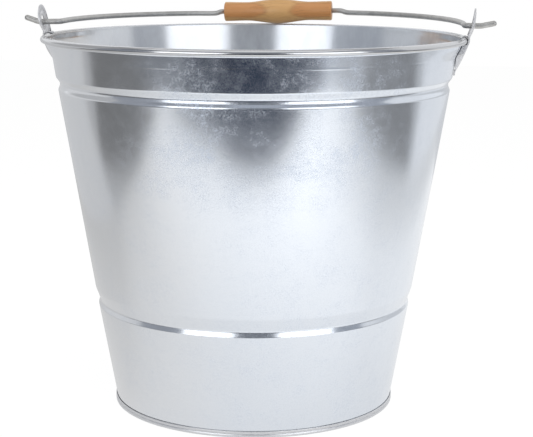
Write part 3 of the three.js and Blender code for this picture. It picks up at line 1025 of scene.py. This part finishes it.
def make_floor():
    """Large pale floor for the camera, which keeps the bucket's soft shadow."""
    half, below, glow_share, glow_strength = 3.0, -0.0002, 0.8, 1.13
    nodes = Nodes(bpy.data.materials.new("pale_floor"))
    nodes.fill(nodes.shader, {
        "Base Color": (0.9, 0.9, 0.9, 1), "Roughness": 0.9, "Specular IOR Level": 0,
    })
    glow = nodes.add("ShaderNodeEmission", {"Color": (1, 1, 1, 1), "Strength": glow_strength})[0]
    share = nodes.times(seen_share(nodes), glow_share)
    both = nodes.add("ShaderNodeMixShader", {0: share, 1: nodes.shader.outputs[0], 2: glow})[0]
    nodes.fill(nodes.tree.nodes["Material Output"], {"Surface": both})
    made = stage_card("floor", rectangle(-half, half, -half, half, below), nodes.owner)
    made.visible_glossy = False


def table_glow(nodes):
    """Glow of the table top: brighter to the right and the front, and less bright at its right edge."""
    position = nodes.add("ShaderNodeNewGeometry", {})["Position"]
    axes = nodes.add("ShaderNodeSeparateXYZ", {0: position})
    total = 0.0
    for axis, start, end, low, high in (
        ("X", -0.45, 0, 0.57, 0.76), ("X", 0, 0.24, 0, 0.18), ("X", 0.36, 0.50, 0, -0.20),
        ("Y", -0.20, -0.13, 0, 0.03), ("Y", -0.04, -0.40, 0, 0.38),
    ):
        total = nodes.plus(nodes.range(axes[axis], start, end, low, high, False), total)
    return total


def level_card(name, left, right, front, back, material):
    below = -0.001
    reflected_card(name, rectangle(left, right, front, back, below), material)


def upright_card(name, first, last, low, high, material):
    """Upright card along part of a circle round the bucket. Azimuth 0 is straight in front of it."""
    radius, step = 2.2, 6
    count = max(1, round(abs(last - first) / step))
    azimuths = [math.radians(mix(first, last, i / count)) for i in range(count + 1)]
    corners = [
        (radius * math.sin(azimuth), -radius * math.cos(azimuth), height)
        for height in (low, high) for azimuth in azimuths
    ]
    faces = [(i, i + 1, count + 2 + i, count + 1 + i) for i in range(count)]
    reflected_card(name, corners, material, faces)


def dark_disc(name, middle, half_width, half_depth, material):
    """Dark rounded shape over the table's front edge: the camera stand, as the bucket sees it."""
    sides, below, power = 48, -0.0008, 1.6
    corners = []
    for x, y in unit_circle(sides):
        across = math.copysign(abs(x) ** (2 / power), x)
        ahead = math.copysign(abs(y) ** (2 / power), y)
        corners.append((middle[0] + half_width * across, middle[1] + half_depth * ahead, below))
    reflected_card(name, corners, material)


def make_room():
    """Table top, and the dim room round it, as flat cards."""
    left, right, front, back, far, high = -0.48, 0.59, -0.54, 0.9, 2.2, 2.6
    blue, cool, plain, warm = (0.62, 0.92, 1.70), (0.90, 0.96, 1.08), (0.97, 0.98, 1.0), (1.12, 1.0, 0.86)
    level_card("table_top", left, right, front, back, emitter("table_glow", (1, 1, 1), table_glow))
    dark_disc("camera_stand", (0.135, -0.72), 0.53, 0.231, emitter("dark_front", blue, 0.034))
    edge = -far
    for name, to, colour, radiance in (
        ("room_front_1", -0.38, cool, 0.18), ("room_front_2", -0.19, cool, 0.10),
        ("room_front_3", -0.04, warm, 0.07), ("room_front_4", 0.38, blue, 0.026),
        ("room_front_5", 0.52, cool, 0.09), ("room_front_6", far, cool, 0.36),
    ):
        level_card(name, edge, to, -far, front, emitter(name, colour, radiance))
        edge = to
    for name, side, out, from_y, to_y, radiance in (
        ("room_left", -far, left, front, far, 0.19), ("room_right_front", right, far, front, -0.32, 0.44),
        ("room_right", right, far, -0.32, far, 0.24), ("room_back", left, right, back, far, 0.7),
    ):
        level_card(name, side, out, from_y, to_y, emitter(name, plain, radiance))

    # Slanted cards lie above the level ones, the brighter the higher
    lowest, lift = -0.0009, 0.0001
    for name, start, near_y, slant_x, slant_y, radiance in (
        ("room_left_middle", left, -0.28, -0.64, 0.02, 0.47),
        ("room_left_back", left, -0.06, -0.85, 0.16, 0.66),
        ("room_right_middle", right, 0.20, 1.0, 0.28, 0.52),
        ("room_right_back", right, 0.25, 1.0, 0.42, 0.88),
    ):
        side, height = math.copysign(far, start), lowest + lift * radiance
        outline = [(start, near_y), (start, far), (side, far), (side, slant_y), (slant_x, slant_y)]
        reflected_card(name, [(x, y, height) for x, y in outline], emitter(name, plain, radiance))

    # Walls between two azimuths, in a lower and an upper part that meet at a step
    bottom = -0.001
    for name, first, last, colour, step, lower, upper in (
        ("wall_1", -128, -80, plain, 0.6, 0.74, 0.50), ("wall_2", -80, -9, cool, 1.45, 0.32, 0.25),
        ("wall_3", -9, 27, cool, 1.45, 0.18, 0.42), ("wall_4", 27, 90, cool, 1.45, 0.35, 0.35),
        ("wall_5", 90, 122, plain, 0.45, 0.68, 0.88), ("wall_6", 122, 232, plain, 0.45, 0.68, 0.95),
    ):
        upright_card(name + "_low", first, last, bottom, step, emitter(name + "_low", colour, lower))
        upright_card(name, first, last, step, high, emitter(name, colour, upper))
    reflected_card("ceiling", rectangle(-far, far, -far, far, high), emitter("ceiling", plain, 0.36))


def softbox(name, azimuth, elevation, distance, width, height, radiance):
    """Area lamp that faces the middle of the bucket. Azimuth 0 is straight in front of it."""
    lamp = bpy.data.lights.new(name, "AREA")
    lamp.shape = "RECTANGLE"
    lamp.size = width
    lamp.size_y = height
    lamp.energy = radiance * math.pi * width * height
    made = added(name, lamp)
    azimuth, elevation = math.radians(azimuth), math.radians(elevation)
    level = math.cos(elevation)
    away = Vector((math.sin(azimuth) * level, -math.cos(azimuth) * level, math.sin(elevation)))
    made.location = Vector((0, 0, RIM_TOP / 2)) + away * distance
    made.rotation_euler = away.to_track_quat("Z", "Y").to_euler()


def make_world():
    """White for rays that show it, and dimmer as light on the bucket."""
    light, seen = 0.45, 1.0
    nodes = Nodes(bpy.data.worlds.new("studio"), "Background")
    nodes.fill(nodes.shader, {
        "Color": (1, 1, 1, 1), "Strength": nodes.range(seen_share(nodes), 0, 1, light, seen, False),
    })
    bpy.context.scene.world = nodes.owner


def make_camera():
    """Camera solved from the photograph's outlines."""
    azimuth, yaw, pitch, roll = math.radians(7.4), 0.0086, 0.1869, 0.0036
    distance, height = 1.06515, 0.33499
    focal_pixels, frame_width = 1472.19, 533
    data = bpy.data.cameras.new("camera")
    data.sensor_fit = "HORIZONTAL"
    data.sensor_width = 36
    data.lens = focal_pixels / frame_width * data.sensor_width
    made = added("camera", data)
    place = Vector((distance * math.sin(azimuth), -distance * math.cos(azimuth), height))
    turn = (
        Matrix.Rotation(azimuth - yaw, 4, "Z")
        @ Matrix.Rotation(math.pi / 2 - pitch, 4, "X")
        @ Matrix.Rotation(roll, 4, "Z")
    )
    made.matrix_world = Matrix.Translation(place) @ turn
    bpy.context.scene.camera = made


# Everything is made here
sheet_metal = sheet_steel("galvanised_sheet")
base_metal = galvanised(
    "galvanised_base", (0.67, 0.68, 0.70), rough=0.30, bloom_share=0.3, dull_share=0.15, edge_shade_share=0
)
ear_metal = galvanised(
    "galvanised_ear", (0.82, 0.82, 0.83), rough=0.31, bloom_share=0.25, dull_share=0.38, edge_shade_share=0.6
)
wire_metal = drawn_wire("galvanised_wire")
wood = turned_wood("turned_wood")

make_wall(sheet_metal)
make_seam(sheet_metal)
make_base(base_metal)
make_ear("right", 0, ear_metal)
make_ear("left", math.pi, ear_metal)
make_bail(wire_metal)
make_grip(wood)
rim_wire = frame["nodes"]["rim_wire"]
rim_wire.data.materials.clear()
rim_wire.data.materials.append(wire_metal)

make_floor()
make_room()
softbox("softbox_left", -25, 12, 1.6, 1.01, 0.95, 1.7)
softbox("softbox_right", 44.5, 12, 1.6, 1.13, 0.95, 1.7)
softbox("softbox_top", 0, 76, 1.6, 2.2, 1.4, 0.6)
make_world()
make_camera()
bpy.context.scene.view_settings.view_transform = "Standard"
